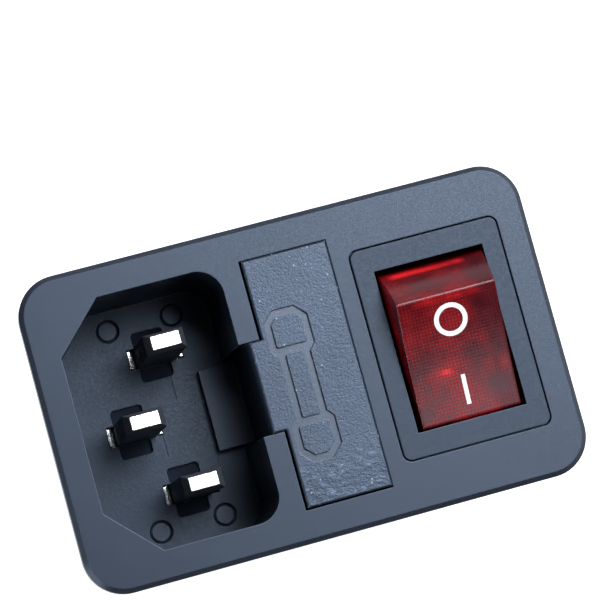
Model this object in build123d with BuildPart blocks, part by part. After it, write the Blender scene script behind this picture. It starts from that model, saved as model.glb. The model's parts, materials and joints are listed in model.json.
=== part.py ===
from build123d import *
from math import cos, radians, sin, sqrt
import os

# A mains inlet that snaps into a panel, with a fuse drawer and a lit rocker switch.
# The origin is the middle of the flange's back face, which seats on the panel.
# +Z points out of the panel, +X from the inlet to the switch, +Y to the O end of the rocker.

os.makedirs("parts", exist_ok=True)

# Layout of the front, from the inlet's end to the switch's end
end_margin = 3.0
cavity_length = 16.6
partition = 2.3
drawer_length = 8.4
web = 1.85
bezel_length = 14.75
switch_margin = 3.1
side_margin = 3.1
cavity_height = 24.8
drawer_height = 24.3
bezel_height = 20.75

# Flange
flange_thickness = 2.2
flange_corner = 4.0
flange_bevel = 0.5

# Walls behind the flange
wall = 1.3
body_corner = 1.0
skirt_depth = 6.0
floor_thickness = 2.8
rear_recess_depth = 3.0

# Inlet cavity
cavity_depth = 17.2
key_cut_x = 4.7
key_cut_y = 4.8
cavity_corner = 2.6
notch_width = 9.1
notch_depth = 1.0
step_length = 2.7
step_width = 8.3
step_height = 1.6
ejector_radius = 1.2
ejector_depth = 0.15
ejector_spread_x = 6.65
ejector_spread_y = 20.8
ejector_shift_x = 1.3

# Pins of the inlet
pin_width = 4.0
pin_thickness = 2.0
pin_pitch = 14.0
pin_offset = 2.0
pin_tip_taper_width = 1.2
pin_tip_taper_thickness = 0.7
pin_tip_taper_length = 1.3
live_tip_depth = 3.0
earth_tip_depth = 2.0
pin_clearance = 0.05
shoulder_width = 5.4
shoulder_depth = 3.2
shoulder_thickness = 0.6
lug_width = 0.3
lug_thickness = 1.75
lug_below_floor = 0.1
pin_recess_length = 3.3
pin_recess_shift = 0.3
pin_recess_height = 5.1
pin_recess_depth = 0.6
pin_recess_corner = 0.4

# Spade tabs at the back
tab_width = 4.8
tab_thickness = 0.8
tab_reach = 8.0
tab_clip = 1.1
tab_hole_radius = 0.9
tab_hole_inset = 2.4
slot_clearance = 0.1

# Rear cover
cover_thickness = 2.2
cover_clearance = 0.15

# Snap tongues that hold the housing in its panel
panel_thickness = 2.0
panel_gap = 0.1
tongue_width = 2.0
switch_tongue_width = 6.0
tongue_slit = 0.5
tongue_length = 8.0
tongue_flex_room = 1.0
tongue_root = 0.6
barb_height = 1.0
barb_length = 4.5
tongue_inset = 0.5

# Fuse drawer
drawer_gap_left = 0.25
drawer_gap_right = 0.08
drawer_gap_top = 0.1
drawer_gap_bottom = 0.2
drawer_proud = 0.3
drawer_front_thickness = 1.9
drawer_edge = 0.15
drawer_body_inset_left = 0.1
drawer_body_inset_right = 0.3
drawer_body_inset_end = 0.1
drawer_body_corner = 0.6
drawer_floor = 1.35
tab_side_clearance = 0.1
tab_seat_clearance = 0.1
drawer_bottom_gap = 0.3
drawer_past_well = 1.3

# Fuses, 5 x 20 mm
fuse_radius = 2.6
fuse_length = 20.0
fuse_cap_length = 5.2
fuse_cap_sheet = 0.18
fuse_glass_wall = 0.5
fuse_fit = 0.02
fuse_wire_radius = 0.12
trough_clearance = 0.15
trough_end_clearance = 0.2
fuse_side_inset = 0.05
fuse_pitch = 8.0

# Fuse contacts
contact_sheet = 0.5
contact_gap = 0.15
contact_top_above_fuse = 3.0
contact_corner = 0.8
contact_back_room = 0.1
link_width = 3.0

# Rocker switch, body
bezel_thickness = 1.5
bezel_proud = 0.1
bezel_gap = 0.15
bezel_corner = 0.8
bezel_edge = 0.08
switch_side_step = 1.0
switch_body_gap = 0.1
switch_body_corner = 0.5
switch_wall = 0.9
window_rim = 2.35
window_depth = 0.5
switch_end_wall = 0.75
switch_depth = 14.7
switch_floor = 1.5
boss_height = 1.4
boss_wall = 0.4
boss_length_y = 3.0
divider_length = 5.0
divider_height = 5.5
wing_width = 5.0
wing_height = 0.6
wing_length = 5.5
wing_gap = 0.1

# Rocker cap, in its own level position about the pivot
pivot_depth = 4.2
pivot_radius = 1.4
pivot_clearance = 0.08
pivot_end_gap = 0.1
rocker_tilt = 16.8
rocker_side_gap = 0.25
rocker_draft = 4.0
rocker_wall = 1.0
ridge_rise = 0.45
ridge_angle = 44.1
shoulder_gap = 0.15
shoulder_angle = 77.2
end_bulge = 0.12
ridge_round = 0.2
top_dish = 0.35
skirt_below_pivot = 1.2
skirt_draw_in = 0.1
tube_side_gap = 0.7
tube_wall = 0.6
tube_below_pivot = 3.0

# Plungers and their springs
plunger_clearance = 0.1
plunger_reach = 7.0
plunger_length = 5.6
plunger_tip_flat = 0.4
plunger_tip_length = 0.7
spring_wire = 0.14
spring_turns = 3
spring_fit = 0.12

# Lamp and resistor under the cap
lamp_radius = 1.2
lamp_length = 6.6
lamp_tip_chamfer = 0.6
resistor_radius = 0.85
resistor_length = 3.6
lamp_height = 2.7
lamp_far_end = 5.4
lead_radius = 0.2
lead_gap = 1.0
holder_rib = 0.7
holder_gap = 0.1
holder_inset = 1.3

# Contacts of the switch
lamp_room = 1.35
bridge_side_gap = 0.9
bridge_sheet = 0.5
bridge_short_arm = 5.2
bridge_tilt = 10.0
bridge_lift = 0.1
bridge_pivot_depth = 7.7
rivet_radius = 1.2
rivet_height = 0.5
load_inset = 3.05
contact_air = 0.12
switch_tab_reach = 7.5
switch_tab_hole_radius = 1.0
knife_flat = 0.3
knife_width = 3.0
foot_sheet = 0.6
foot_length = 3.2

# Places worked out from the sizes above
layout = [end_margin, cavity_length, partition, drawer_length, web, bezel_length, switch_margin]
flange_length = sum(layout)
flange_height = cavity_height + 2 * side_margin
cavity_left = -flange_length / 2 + end_margin
cavity_right = cavity_left + cavity_length
cavity_x = cavity_left + cavity_length / 2
drawer_left = cavity_right + partition
drawer_right = drawer_left + drawer_length
slot_left = drawer_left - drawer_gap_left
slot_right = drawer_right + drawer_gap_right
slot_top = drawer_height / 2 + drawer_gap_top
slot_low = -drawer_height / 2 - drawer_gap_bottom
bezel_left = drawer_right + web
switch_x = bezel_left + bezel_length / 2
front = flange_thickness
cavity_floor = front - cavity_depth
body_left = cavity_left - wall
body_right = bezel_left + bezel_length + wall
box_right = slot_right + wall
body_half_height = cavity_height / 2 + wall
notch_right = cavity_right + notch_depth
trough_radius = fuse_radius + trough_clearance
drawer_bottom = cavity_floor - drawer_past_well
active_fuse_z = drawer_bottom + drawer_floor + trough_radius
spare_fuse_z = active_fuse_z + fuse_pitch
drawer_step = front + drawer_proud - drawer_front_thickness
slot_bottom = drawer_bottom - drawer_bottom_gap
floor_back = cavity_floor - floor_thickness
body_back = floor_back - rear_recess_depth
cover_front = floor_back - shoulder_thickness
cover_back = cover_front - cover_thickness
drawer_body_left = drawer_left + drawer_body_inset_left
drawer_body_right = drawer_right - drawer_body_inset_right
fuse_x = drawer_body_right - fuse_side_inset - fuse_radius
contact_left = drawer_body_right + contact_gap
contact_right = contact_left + contact_sheet
contact_center_y = fuse_length / 2 - tab_width / 2
contact_top = active_fuse_z + contact_top_above_fuse
tab_end = cover_back - tab_reach
line_x = cavity_x + pin_offset
earth_x = cavity_x - pin_offset
bezel_top = front + bezel_proud
bezel_bottom = bezel_top - bezel_thickness
switch_length = bezel_length - 2 * switch_side_step
switch_height = bezel_height - 2 * switch_side_step
switch_inner_length = switch_length - 2 * switch_wall
switch_cavity_height = switch_height - 2 * switch_end_wall
window_height = bezel_height - 2 * window_rim
chamber = (switch_inner_length - lamp_room) / 2
pole_pitch = chamber + lamp_room
boss_length_x = chamber + 2 * boss_wall
divider_thickness = pole_pitch - boss_length_x
bridge_width = chamber - 2 * bridge_side_gap
contact_y = switch_cavity_height / 2 - load_inset
rocker_width = switch_inner_length - 2 * rocker_side_gap
shoulder_radius = switch_cavity_height / 2 - shoulder_gap
ridge_radius = shoulder_radius + ridge_rise
tube_radius = chamber / 2 - tube_side_gap
plunger_radius = tube_radius - tube_wall - plunger_clearance
switch_back = bezel_bottom - switch_depth
switch_floor_z = switch_back + switch_floor
pivot_z = bezel_top - pivot_depth
bridge_pivot_z = pivot_z - bridge_pivot_depth
switch_tab_end = switch_back - boss_height - switch_tab_reach

# Planes of the tilted rocker: its side view, its end view and its plan
tilt = radians(rocker_tilt)
rocker_along = (0, cos(tilt), sin(tilt))
rocker_up = (0, -sin(tilt), cos(tilt))
pivot_point = (switch_x, 0, pivot_z)
rocker_side = Plane(origin=pivot_point, x_dir=rocker_along, z_dir=(1, 0, 0))
rocker_end = Plane(origin=pivot_point, x_dir=(1, 0, 0), z_dir=(0, -cos(tilt), -sin(tilt)))
rocker_plan = Plane(origin=pivot_point, x_dir=(1, 0, 0), z_dir=rocker_up)

# Planes of the closed contact bridges, which lean the other way about their knife edges
lean = radians(bridge_tilt)
bridge_plan = Plane(
    origin=(switch_x, 0, bridge_pivot_z), x_dir=(1, 0, 0), z_dir=(0, sin(lean), cos(lean)))

pole_places = [("1", -pole_pitch / 2), ("2", pole_pitch / 2)]
pin_places = [
    ("line_pin", line_x, pin_pitch / 2, live_tip_depth),
    ("neutral_pin", line_x, -pin_pitch / 2, live_tip_depth),
    ("earth_pin", earth_x, 0, earth_tip_depth),
]


def span(low, high):
    """Middle and length of a stretch between two places."""
    return (low + high) / 2, high - low


def block(x_low, x_high, y_low, y_high, z_low, z_high, mode=Mode.ADD):
    """A plain block between two corners, in the part that is being built."""
    x_mid, x_size = span(x_low, x_high)
    y_mid, y_size = span(y_low, y_high)
    with BuildSketch(Plane.XY.offset(z_low)) as foot:
        with Locations((x_mid, y_mid)):
            Rectangle(x_size, y_size)
    extrude(foot.sketch, amount=z_high - z_low, mode=mode)


def finish(part, label):
    """Name a piece and write it."""
    part.label = label
    export_step(part, f"parts/{label}.step")


# Housing: the flange, the inlet's well, the drawer's slot and the switch's skirt in one moulding
with BuildPart() as housing:
    with BuildSketch(Plane.XY):
        RectangleRounded(flange_length, flange_height, flange_corner)
    extrude(amount=flange_thickness)
    chamfer(housing.faces().sort_by(Axis.Z)[-1].outer_wire().edges(), flange_bevel)
    box_mid, box_size = span(body_left, box_right)
    with BuildSketch(Plane.XY.offset(body_back)):
        with Locations((box_mid, 0)):
            RectangleRounded(box_size, 2 * body_half_height, body_corner)
    extrude(amount=-body_back)
    skirt_mid, skirt_size = span(body_left, body_right)
    with BuildSketch(Plane.XY.offset(-skirt_depth)):
        with Locations((skirt_mid, 0)):
            RectangleRounded(skirt_size, 2 * body_half_height, body_corner)
    extrude(amount=skirt_depth)
    # room for the switch behind the flange
    block(box_right, body_right - wall, -cavity_height / 2, cavity_height / 2,
          -skirt_depth, 0, Mode.SUBTRACT)
    # the inlet's well, with the two cut corners that key the plug
    with BuildSketch(Plane.XY.offset(cavity_floor)):
        with BuildLine():
            half = cavity_height / 2
            FilletPolyline(
                (cavity_left + key_cut_x, half), (cavity_right, half),
                (cavity_right, -half), (cavity_left + key_cut_x, -half), radius=cavity_corner)
            Polyline(
                (cavity_left + key_cut_x, -half), (cavity_left, -half + key_cut_y),
                (cavity_left, half - key_cut_y), (cavity_left + key_cut_x, half))
        make_face()
    extrude(amount=cavity_depth, mode=Mode.SUBTRACT)
    # the finger notch beside the drawer, and the low step at its foot
    block(cavity_right - notch_depth, notch_right, -notch_width / 2, notch_width / 2,
          cavity_floor, front, Mode.SUBTRACT)
    block(cavity_right - step_length, notch_right, -step_width / 2, step_width / 2,
          cavity_floor, cavity_floor + step_height)
    # the pins' slots, long enough for their lugs, and a shallow recess across each
    for pin_label, pin_x, pin_y, tip_depth in pin_places:
        with BuildSketch(Plane.XY.offset(cavity_floor - pin_recess_depth)):
            with Locations((pin_x - pin_recess_shift, pin_y)):
                RectangleRounded(pin_recess_length, pin_recess_height, pin_recess_corner)
        extrude(amount=pin_recess_depth, mode=Mode.SUBTRACT)
        block(pin_x - shoulder_width / 2 - pin_clearance, pin_x + shoulder_width / 2 + pin_clearance,
              pin_y - pin_thickness / 2 - pin_clearance, pin_y + pin_thickness / 2 + pin_clearance,
              floor_back, cavity_floor, Mode.SUBTRACT)
    # marks of the ejector pins on the well's floor
    with BuildSketch(Plane.XY.offset(cavity_floor - ejector_depth)):
        with Locations((cavity_x + ejector_shift_x, 0)):
            with GridLocations(ejector_spread_x, ejector_spread_y, 2, 2):
                Circle(ejector_radius)
    extrude(amount=ejector_depth, mode=Mode.SUBTRACT)
    # the drawer's slot, and the way to it for the drawer's finger tab
    block(slot_left, slot_right, slot_low, slot_top, slot_bottom, front, Mode.SUBTRACT)
    block(notch_right, slot_left, -notch_width / 2, notch_width / 2,
          drawer_step - tab_seat_clearance, front, Mode.SUBTRACT)
    # the recess at the back that takes the rear cover
    block(cavity_left, slot_right, -cavity_height / 2, cavity_height / 2,
          body_back, floor_back, Mode.SUBTRACT)
    # channels for the two fuse contacts
    for side in (-1, 1):
        channel_y = side * contact_center_y
        channel_half = tab_width / 2 + slot_clearance
        block(contact_left - slot_clearance, contact_right + contact_back_room,
              channel_y - channel_half, channel_y + channel_half,
              body_back, contact_top + slot_clearance, Mode.SUBTRACT)
    # the switch's seat: a recess for its bezel and an opening for its body
    with BuildSketch(Plane.XY.offset(bezel_bottom)):
        with Locations((switch_x, 0)):
            RectangleRounded(bezel_length + 2 * bezel_gap, bezel_height + 2 * bezel_gap,
                             bezel_corner + bezel_gap)
    extrude(amount=front - bezel_bottom, mode=Mode.SUBTRACT)
    with BuildSketch(Plane.XY):
        with Locations((switch_x, 0)):
            RectangleRounded(switch_length + 2 * switch_body_gap,
                             switch_height + 2 * switch_body_gap,
                             switch_body_corner + switch_body_gap)
    extrude(amount=bezel_bottom, mode=Mode.SUBTRACT)
    # snap tongues on both long sides, cut free in the walls, each with a wedge-shaped barb
    tongues = [
        (cavity_left + tongue_inset + tongue_width / 2, tongue_width, tongue_length, True),
        (switch_x, switch_tongue_width, skirt_depth, False),
    ]
    for tongue_x, width, length, in_solid in tongues:
        for side in (-1, 1):
            outer = side * body_half_height
            inner = side * (cavity_height / 2)
            pocket = side * (cavity_height / 2 - tongue_flex_room)
            for slit_side in (-1, 1):
                edge = tongue_x + slit_side * width / 2
                slit_end = edge + slit_side * tongue_slit
                block(min(edge, slit_end), max(edge, slit_end), min(inner, outer), max(inner, outer),
                      -length, -tongue_root, Mode.SUBTRACT)
            if in_solid:
                slit_half = width / 2 + tongue_slit
                block(tongue_x - slit_half, tongue_x + slit_half, min(inner, pocket),
                      max(inner, pocket), -length, -tongue_root, Mode.SUBTRACT)
                block(tongue_x - slit_half, tongue_x + slit_half, min(pocket, outer),
                      max(pocket, outer), -length - tongue_slit, -length, Mode.SUBTRACT)
            catch_z = -panel_thickness - panel_gap
            with BuildSketch(Plane.YZ.offset(tongue_x - width / 2)):
                with BuildLine():
                    Polyline((outer, catch_z), (outer + side * barb_height, catch_z),
                             (outer, catch_z - barb_length), close=True)
                make_face()
            extrude(amount=width)
finish(housing.part, "housing")

# Rear cover: closes the back of the inlet and holds the pins by their shoulders
with BuildPart() as rear_cover:
    block(cavity_left + cover_clearance, slot_right - cover_clearance,
          -cavity_height / 2 + cover_clearance, cavity_height / 2 - cover_clearance,
          cover_back, cover_front)
    for pin_label, pin_x, pin_y, tip_depth in pin_places:
        block(pin_x - tab_width / 2 - slot_clearance, pin_x + tab_width / 2 + slot_clearance,
              pin_y - tab_thickness / 2 - slot_clearance, pin_y + tab_thickness / 2 + slot_clearance,
              cover_back, cover_front, Mode.SUBTRACT)
    for side in (-1, 1):
        notch_y = side * contact_center_y
        notch_half = tab_width / 2 + slot_clearance
        block(contact_left - slot_clearance, slot_right,
              notch_y - notch_half, notch_y + notch_half, cover_back, cover_front, Mode.SUBTRACT)
finish(rear_cover.part, "rear_cover")

# Three flat pins with tapered tips, each one piece with its shoulder, its lugs and its rear tab
for pin_label, pin_x, pin_y, tip_depth in pin_places:
    tip_z = front - tip_depth
    with BuildPart() as pin:
        block(pin_x - pin_width / 2, pin_x + pin_width / 2,
              pin_y - pin_thickness / 2, pin_y + pin_thickness / 2,
              floor_back, tip_z - pin_tip_taper_length)
        with BuildSketch(Plane.XY.offset(tip_z - pin_tip_taper_length)):
            with Locations((pin_x, pin_y)):
                Rectangle(pin_width, pin_thickness)
        with BuildSketch(Plane.XY.offset(tip_z)):
            with Locations((pin_x, pin_y)):
                Rectangle(pin_width - pin_tip_taper_width, pin_thickness - pin_tip_taper_thickness)
        loft()
        block(pin_x - shoulder_width / 2, pin_x + shoulder_width / 2,
              pin_y - shoulder_depth / 2, pin_y + shoulder_depth / 2, cover_front, floor_back)
        # a lug at each end of the shoulder, which shows in the floor's slot
        for side in (-1, 1):
            lug_x = pin_x + side * (shoulder_width - lug_width) / 2
            block(lug_x - lug_width / 2, lug_x + lug_width / 2, pin_y - lug_thickness / 2,
                  pin_y + lug_thickness / 2, floor_back, cavity_floor - lug_below_floor)
        with BuildSketch(Plane.XZ.offset(-pin_y - tab_thickness / 2)):
            tab_mid, tab_size = span(tab_end, cover_front)
            with Locations((pin_x, tab_mid)):
                tab_face = Rectangle(tab_width, tab_size)
            chamfer(tab_face.vertices().group_by(Axis.Z)[0], tab_clip)
            with Locations((pin_x, tab_end + tab_hole_inset)):
                Circle(tab_hole_radius, mode=Mode.SUBTRACT)
        extrude(amount=tab_thickness)
    finish(pin.part, pin_label)

# Fuse contact on the supply side, with the link that runs behind the floor to the line pin
with BuildPart() as fuse_contact_in:
    block(contact_left, contact_right, contact_center_y - tab_width / 2,
          contact_center_y + tab_width / 2, floor_back - contact_sheet, contact_top)
    block(line_x + shoulder_width / 2, contact_left, contact_center_y - link_width / 2,
          contact_center_y + link_width / 2, floor_back - contact_sheet, floor_back)
    fillet(fuse_contact_in.edges().filter_by(Axis.X).group_by(Axis.Z)[-1], contact_corner)
finish(fuse_contact_in.part, "fuse_contact_in")

# Fuse contact on the load side, which ends in a spade tab of its own
with BuildPart() as fuse_contact_out:
    with BuildSketch(Plane.YZ.offset(contact_left)):
        blade_mid, blade_size = span(tab_end, contact_top)
        with Locations((-contact_center_y, blade_mid)):
            blade_face = Rectangle(tab_width, blade_size)
        chamfer(blade_face.vertices().group_by(Axis.Z)[0], tab_clip)
        with Locations((-contact_center_y, tab_end + tab_hole_inset)):
            Circle(tab_hole_radius, mode=Mode.SUBTRACT)
    extrude(amount=contact_sheet)
    fillet(fuse_contact_out.edges().filter_by(Axis.X).group_by(Axis.Z)[-1], contact_corner)
finish(fuse_contact_out.part, "fuse_contact_out")

# Fuse drawer: a front with a finger tab, and a carrier with a trough for each fuse
with BuildPart() as fuse_drawer:
    with BuildSketch(Plane.XY.offset(drawer_step)):
        front_mid, front_size = span(drawer_left, drawer_right)
        with Locations((front_mid, 0)):
            Rectangle(front_size, drawer_height)
        finger_mid, finger_size = span(notch_right, drawer_left)
        with Locations((finger_mid, 0)):
            Rectangle(finger_size, notch_width - 2 * tab_side_clearance)
    extrude(amount=drawer_front_thickness)
    chamfer(fuse_drawer.faces().sort_by(Axis.Z)[-1].outer_wire().edges(), drawer_edge)
    body_mid, body_size = span(drawer_body_left, drawer_body_right)
    with BuildSketch(Plane.XY.offset(drawer_bottom)):
        with Locations((body_mid, 0)):
            RectangleRounded(body_size, drawer_height - 2 * drawer_body_inset_end, drawer_body_corner)
    extrude(amount=drawer_step - drawer_bottom)
    trough_half = fuse_length / 2 + trough_end_clearance
    for fuse_z in (spare_fuse_z, active_fuse_z):
        with BuildSketch(Plane.XZ.offset(-trough_half)):
            with Locations((fuse_x, fuse_z)):
                Circle(trough_radius)
            mouth_mid, mouth_size = span(fuse_x, drawer_body_right)
            with Locations((mouth_mid, fuse_z)):
                Rectangle(mouth_size, 2 * trough_radius)
        extrude(amount=2 * trough_half, mode=Mode.SUBTRACT)
finish(fuse_drawer.part, "fuse_drawer")

# Two glass fuses: a tube, two caps and the wire between them
for fuse_label, fuse_z in (("spare_fuse", spare_fuse_z), ("active_fuse", active_fuse_z)):
    fuse_axis = Plane(origin=(fuse_x, 0, fuse_z), x_dir=(1, 0, 0), z_dir=(0, 1, 0))
    glass_radius = fuse_radius - fuse_cap_sheet - fuse_fit
    glass_half = fuse_length / 2 - fuse_cap_sheet - fuse_fit
    with BuildPart() as fuse_tube:
        with BuildSketch(fuse_axis.offset(-glass_half)):
            Circle(glass_radius)
            Circle(glass_radius - fuse_glass_wall, mode=Mode.SUBTRACT)
        extrude(amount=2 * glass_half)
    finish(fuse_tube.part, f"{fuse_label}_tube")
    with BuildPart() as fuse_caps:
        for side in (-1, 1):
            with BuildSketch(fuse_axis.offset(side * fuse_length / 2)):
                Circle(fuse_radius)
            extrude(amount=-side * fuse_cap_length)
            with BuildSketch(fuse_axis.offset(side * (fuse_length / 2 - fuse_cap_sheet))):
                Circle(fuse_radius - fuse_cap_sheet)
            extrude(amount=-side * (fuse_cap_length - fuse_cap_sheet), mode=Mode.SUBTRACT)
    finish(fuse_caps.part, f"{fuse_label}_caps")
    with BuildPart() as fuse_wire:
        with BuildSketch(fuse_axis.offset(-fuse_length / 2 + fuse_cap_sheet)):
            Circle(fuse_wire_radius)
        extrude(amount=fuse_length - 2 * fuse_cap_sheet)
    finish(fuse_wire.part, f"{fuse_label}_wire")

# Switch body: bezel and deep box in one moulding, with bosses round the terminals
with BuildPart() as switch_body:
    with BuildSketch(Plane.XY.offset(bezel_bottom)):
        with Locations((switch_x, 0)):
            RectangleRounded(bezel_length, bezel_height, bezel_corner)
    extrude(amount=bezel_thickness)
    chamfer(switch_body.faces().sort_by(Axis.Z)[-1].outer_wire().edges(), bezel_edge)
    with BuildSketch(Plane.XY.offset(switch_back)):
        with Locations((switch_x, 0)):
            RectangleRounded(switch_length, switch_height, switch_body_corner)
    extrude(amount=bezel_bottom - switch_back)
    block(switch_x - switch_inner_length / 2, switch_x + switch_inner_length / 2,
          -window_height / 2, window_height / 2, bezel_top - window_depth, bezel_top, Mode.SUBTRACT)
    block(switch_x - switch_inner_length / 2, switch_x + switch_inner_length / 2,
          -switch_cavity_height / 2, switch_cavity_height / 2,
          switch_floor_z, bezel_top - window_depth, Mode.SUBTRACT)
    # holes for the rocker's pivots, through both side walls
    with BuildSketch(Plane.YZ.offset(switch_x - switch_length / 2)):
        with Locations((0, pivot_z)):
            Circle(pivot_radius + pivot_clearance)
    extrude(amount=switch_length, mode=Mode.SUBTRACT)
    # bosses and terminal slots
    for pole, pole_x in pole_places:
        for boss_y in (0, contact_y):
            block(switch_x + pole_x - boss_length_x / 2, switch_x + pole_x + boss_length_x / 2,
                  boss_y - boss_length_y / 2, boss_y + boss_length_y / 2,
                  switch_back - boss_height, switch_back)
            half_width = chamber / 2 + slot_clearance
            half_thick = tab_thickness / 2 + slot_clearance
            block(switch_x + pole_x - half_width, switch_x + pole_x + half_width,
                  boss_y - half_thick, boss_y + half_thick,
                  switch_back - boss_height, switch_floor_z, Mode.SUBTRACT)
    # the wall between the two load terminals
    block(switch_x - divider_thickness / 2, switch_x + divider_thickness / 2,
          contact_y - divider_length / 2, contact_y + divider_length / 2,
          switch_back - divider_height, switch_back)
    # snap wings on the two short sides, behind the flange
    for side in (-1, 1):
        wing_root = side * switch_height / 2
        with BuildSketch(Plane.YZ.offset(switch_x - wing_width / 2)):
            with BuildLine():
                Polyline((wing_root, -wing_gap), (wing_root + side * wing_height, -wing_gap),
                         (wing_root, -wing_gap - wing_length), close=True)
            make_face()
        extrude(amount=wing_width)
finish(switch_body.part, "switch_body")

# Rocker cap: a hollow, drafted cap with two pivots and a tube for each plunger
ridge_y = ridge_radius * sin(radians(ridge_angle))
ridge_z = ridge_radius * cos(radians(ridge_angle))
shoulder_y = shoulder_radius * sin(radians(shoulder_angle))
shoulder_z = shoulder_radius * cos(radians(shoulder_angle))
slope_length = sqrt((shoulder_y - ridge_y) ** 2 + (ridge_z - shoulder_z) ** 2)
bulge_y = (ridge_z - shoulder_z) / slope_length * end_bulge
bulge_z = (shoulder_y - ridge_y) / slope_length * end_bulge
middle_y = (ridge_y + shoulder_y) / 2
middle_z = (ridge_z + shoulder_z) / 2
roof_z = ridge_z - top_dish - rocker_wall
with BuildPart() as rocker:
    with BuildSketch(rocker_side):
        with BuildLine():
            foot_y = shoulder_y - skirt_draw_in
            ThreePointArc((-ridge_y, ridge_z), (0, ridge_z - top_dish), (ridge_y, ridge_z))
            ThreePointArc((ridge_y, ridge_z), (middle_y + bulge_y, middle_z + bulge_z),
                          (shoulder_y, shoulder_z))
            Polyline((shoulder_y, shoulder_z), (foot_y, -skirt_below_pivot),
                     (-foot_y, -skirt_below_pivot), (-shoulder_y, shoulder_z))
            ThreePointArc((-shoulder_y, shoulder_z), (-middle_y - bulge_y, middle_z + bulge_z),
                          (-ridge_y, ridge_z))
        make_face()
    extrude(amount=rocker_width / 2, both=True)
    # the long sides lean in above the pivot
    with BuildSketch(rocker_end):
        with BuildLine():
            top_half = rocker_width / 2 - (ridge_z - shoulder_z) * sin(radians(rocker_draft))
            Polyline((-rocker_width / 2, -skirt_below_pivot), (rocker_width / 2, -skirt_below_pivot),
                     (rocker_width / 2, shoulder_z), (top_half, ridge_z), (-top_half, ridge_z),
                     (-rocker_width / 2, shoulder_z), close=True)
        make_face()
    extrude(amount=ridge_radius, both=True, mode=Mode.INTERSECT)
    ridges = rocker.edges().filter_by(Axis.X).sort_by(lambda edge: edge.center().dot(Vector(*rocker_up)))
    fillet(ridges[-2:], ridge_round)
    # hollow from below
    with BuildSketch(rocker_side):
        with BuildLine():
            Polyline((-ridge_y + rocker_wall, roof_z), (ridge_y - rocker_wall, roof_z),
                     (shoulder_y - rocker_wall, shoulder_z),
                     (foot_y - rocker_wall, -skirt_below_pivot),
                     (-foot_y + rocker_wall, -skirt_below_pivot),
                     (-shoulder_y + rocker_wall, shoulder_z), close=True)
        make_face()
    extrude(amount=rocker_width / 2 - rocker_wall, both=True, mode=Mode.SUBTRACT)
    # tubes for the plungers
    with BuildSketch(rocker_plan.offset(-tube_below_pivot)):
        with GridLocations(pole_pitch, 0, 2, 1):
            Circle(tube_radius)
    extrude(amount=tube_below_pivot + roof_z)
    # ribs that hold the lamp under the roof
    for rib_y in (holder_inset - lamp_far_end, lamp_length - holder_inset - lamp_far_end):
        with BuildSketch(rocker_end.offset(-rib_y - holder_rib / 2)):
            rib_mid, rib_size = span(lamp_height, roof_z)
            with Locations((0, rib_mid)):
                Rectangle(pole_pitch - tube_radius, rib_size)
            with Locations((0, lamp_height)):
                Circle(lamp_radius + holder_gap, mode=Mode.SUBTRACT)
        extrude(amount=holder_rib)
    with BuildSketch(rocker_plan.offset(-tube_below_pivot)):
        with GridLocations(pole_pitch, 0, 2, 1):
            Circle(tube_radius - tube_wall)
    extrude(amount=tube_below_pivot + roof_z, mode=Mode.SUBTRACT)
    # pivots
    with BuildSketch(rocker_side):
        Circle(pivot_radius)
    extrude(amount=switch_length / 2 - pivot_end_gap, both=True)
    block(switch_x - rocker_width / 2 + rocker_wall, switch_x + rocker_width / 2 - rocker_wall,
          -pivot_radius, pivot_radius, pivot_z - pivot_radius, pivot_z + pivot_radius, Mode.SUBTRACT)
    with BuildSketch(rocker_plan.offset(-tube_below_pivot)):
        with GridLocations(pole_pitch, 0, 2, 1):
            Circle(tube_radius)
            Circle(tube_radius - tube_wall, mode=Mode.SUBTRACT)
    extrude(amount=tube_below_pivot + roof_z)
finish(rocker.part, "rocker")

# Plungers and springs, one of each for a pole
for pole, pole_x in pole_places:
    with BuildPart() as plunger:
        with BuildSketch(rocker_plan.offset(-plunger_reach)):
            with Locations((pole_x, 0)):
                Circle(plunger_radius)
        extrude(amount=plunger_length)
        chamfer(plunger.edges().group_by(Axis.Z)[0], plunger_tip_length, plunger_radius - plunger_tip_flat)
    finish(plunger.part, f"plunger_{pole}")
    spring_base = plunger_length - plunger_reach
    spring_height = roof_z - spring_base - spring_wire
    spring_radius = tube_radius - tube_wall - spring_fit - spring_wire
    spring_foot = rocker_plan.offset(spring_base + spring_wire / 2).origin + Vector(pole_x, 0, 0)
    with BuildPart() as plunger_spring:
        with BuildLine() as coil:
            Helix(pitch=spring_height / spring_turns, height=spring_height, radius=spring_radius,
                  center=spring_foot, direction=rocker_up)
        with BuildSketch(Plane(origin=coil.line @ 0, z_dir=coil.line % 0)):
            Rectangle(spring_wire, spring_wire)
        sweep(is_frenet=True)
    finish(plunger_spring.part, f"plunger_spring_{pole}")

# Lamp, its resistor and their leads, lying along the cap
lamp_axis = Plane(
    origin=Vector(*pivot_point) + Vector(*rocker_up) * lamp_height, x_dir=(1, 0, 0),
    z_dir=rocker_along)
with BuildPart() as neon_lamp:
    with BuildSketch(lamp_axis.offset(-lamp_far_end)):
        Circle(lamp_radius)
    extrude(amount=lamp_length)
    chamfer(neon_lamp.faces().sort_by(Axis.Y)[0].edges(), lamp_tip_chamfer)
finish(neon_lamp.part, "neon_lamp")

resistor_start = -lamp_far_end + lamp_length + lead_gap
with BuildPart() as lamp_resistor:
    with BuildSketch(lamp_axis.offset(resistor_start)):
        Circle(resistor_radius)
    extrude(amount=resistor_length)
finish(lamp_resistor.part, "lamp_resistor")

with BuildPart() as lamp_lead:
    with BuildSketch(lamp_axis.offset(resistor_start - lead_gap)):
        Circle(lead_radius)
    extrude(amount=lead_gap)
finish(lamp_lead.part, "lamp_lead")

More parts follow.
